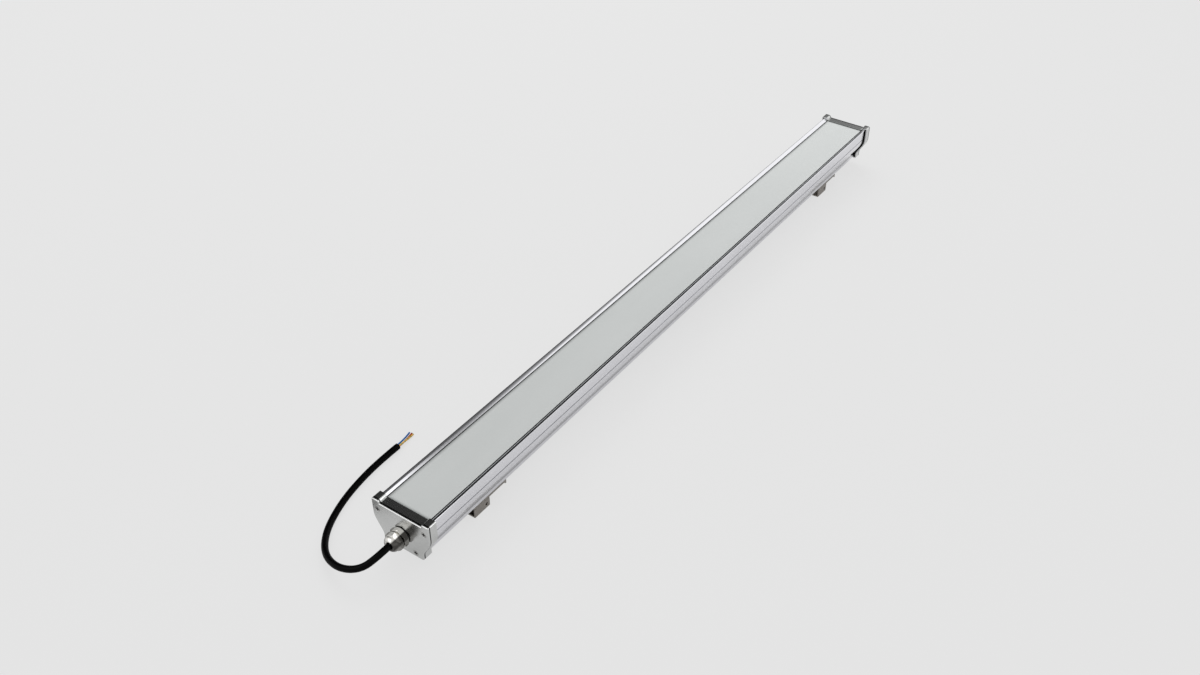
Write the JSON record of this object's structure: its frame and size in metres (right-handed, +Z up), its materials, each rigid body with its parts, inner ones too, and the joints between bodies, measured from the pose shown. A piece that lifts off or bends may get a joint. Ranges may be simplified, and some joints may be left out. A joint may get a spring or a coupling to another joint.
{
  "type": "outdoor wall washer light",
  "caption": "Long slim outdoor wall washer with frosted cover, sealed metal end caps, cable gland with supply cable, and tilting brackets that slide in a slot along its foot.",
  "frame": {"origin": "under the middle of the lamp's body, on the surface that the folded bracket legs stand on", "axes": "+X along the lamp away from the cable gland, +Y across it towards the side the cable curls to, +Z up out of the cover"},
  "size_m": [1.2706, 0.1909, 0.0775],
  "materials": {
    "anodised_aluminium": "satin clear anodised, drawn lengthwise",
    "frosted_glass": "acid-frosted, matt",
    "seal_rubber": "matt",
    "cap_metal": "satin metallic powder",
    "steel_screws": "bright stainless",
    "white_board": "white solder mask",
    "led_phosphor": "yellow phosphor",
    "lens_plastic": "clear moulded",
    "driver_metal": "folded sheet",
    "green_board": "green solder mask",
    "driver_parts": "moulded cases",
    "terminal_plastic": "white moulded",
    "terminal_brass": "plain",
    "lead_insulation": "smooth insulation",
    "gland_nickel": "nickel-plated, satin",
    "cable_jacket": "smooth black",
    "core_blue": "smooth insulation",
    "core_brown": "smooth insulation",
    "core_earth": "yellow with green stripes",
    "bracket_steel": "grey-brown satin coat"
  },
  "bodies": {
    "lamp": {"housing_extrusion": "anodised_aluminium", "foot_rail": "anodised_aluminium", "frosted_cover": "frosted_glass", "cover_gasket_left": "seal_rubber", "cover_gasket_right": "seal_rubber", "near_collar_gasket": "seal_rubber", "far_collar_gasket": "seal_rubber", "near_plate_gasket": "seal_rubber", "far_plate_gasket": "seal_rubber", "gland_seal": "seal_rubber", "gland_o_ring": "seal_rubber", "feed_grommet": "seal_rubber", "near_end_collar": "cap_metal", "far_end_collar": "cap_metal", "near_end_plate": "cap_metal", "far_end_plate": "cap_metal", "near_end_screws": "steel_screws", "far_end_screws": "steel_screws", "board_screws": "steel_screws", "driver_screws": "steel_screws", "earth_screw": "steel_screws", "led_board_1": "white_board", "led_board_2": "white_board", "led_board_3": "white_board", "led_chips": "led_phosphor", "lens_strip_1": "lens_plastic", "lens_strip_2": "lens_plastic", "lens_strip_3": "lens_plastic", "driver_case": "driver_metal", "driver_end_caps": "driver_metal", "driver_circuit_board": "green_board", "driver_components": "driver_parts", "terminal_block": "terminal_plastic", "terminal_screws": "terminal_brass", "inner_supply_leads": "lead_insulation", "terminal_leads": "lead_insulation", "led_feed_leads": "lead_insulation", "board_link_leads": "lead_insulation", "gland_body": "gland_nickel", "gland_nut": "gland_nickel", "gland_lock_nut": "gland_nickel", "supply_cable": "cable_jacket", "cable_entry": "cable_jacket", "cable_core_blue": "core_blue", "cable_core_brown": "core_brown", "cable_core_earth": "core_earth"},
    "near_bracket": {"near_bracket_base": "bracket_steel", "near_clamp_screws": "steel_screws", "near_slide_nuts": "steel_screws", "near_pivot_bolt": "steel_screws", "near_pivot_washers": "steel_screws", "near_pivot_nut": "steel_screws"},
    "near_leg": {"near_bracket_leg": "bracket_steel"},
    "far_bracket": {"far_bracket_base": "bracket_steel", "far_clamp_screws": "steel_screws", "far_slide_nuts": "steel_screws", "far_pivot_bolt": "steel_screws", "far_pivot_washers": "steel_screws", "far_pivot_nut": "steel_screws"},
    "far_leg": {"far_bracket_leg": "bracket_steel"}
  },
  "joints": [
    {"name": "near_bracket_slide", "type": "slide", "parent": "lamp", "child": "near_bracket", "axis": [1, 0, 0], "range_m": [-0.08, 0.4]},
    {"name": "near_leg_tilt", "type": "hinge", "parent": "near_bracket", "child": "near_leg", "pos_m": [-0.48735, 0.02, 0.00745], "axis": [1, 0, 0], "range_deg": [0, 180]},
    {"name": "far_bracket_slide", "type": "slide", "parent": "lamp", "child": "far_bracket", "axis": [1, 0, 0], "range_m": [-0.4, 0.075]},
    {"name": "far_leg_tilt", "type": "hinge", "parent": "far_bracket", "child": "far_leg", "pos_m": [0.45865, 0.02, 0.00745], "axis": [1, 0, 0], "range_deg": [0, 180]}
  ]
}
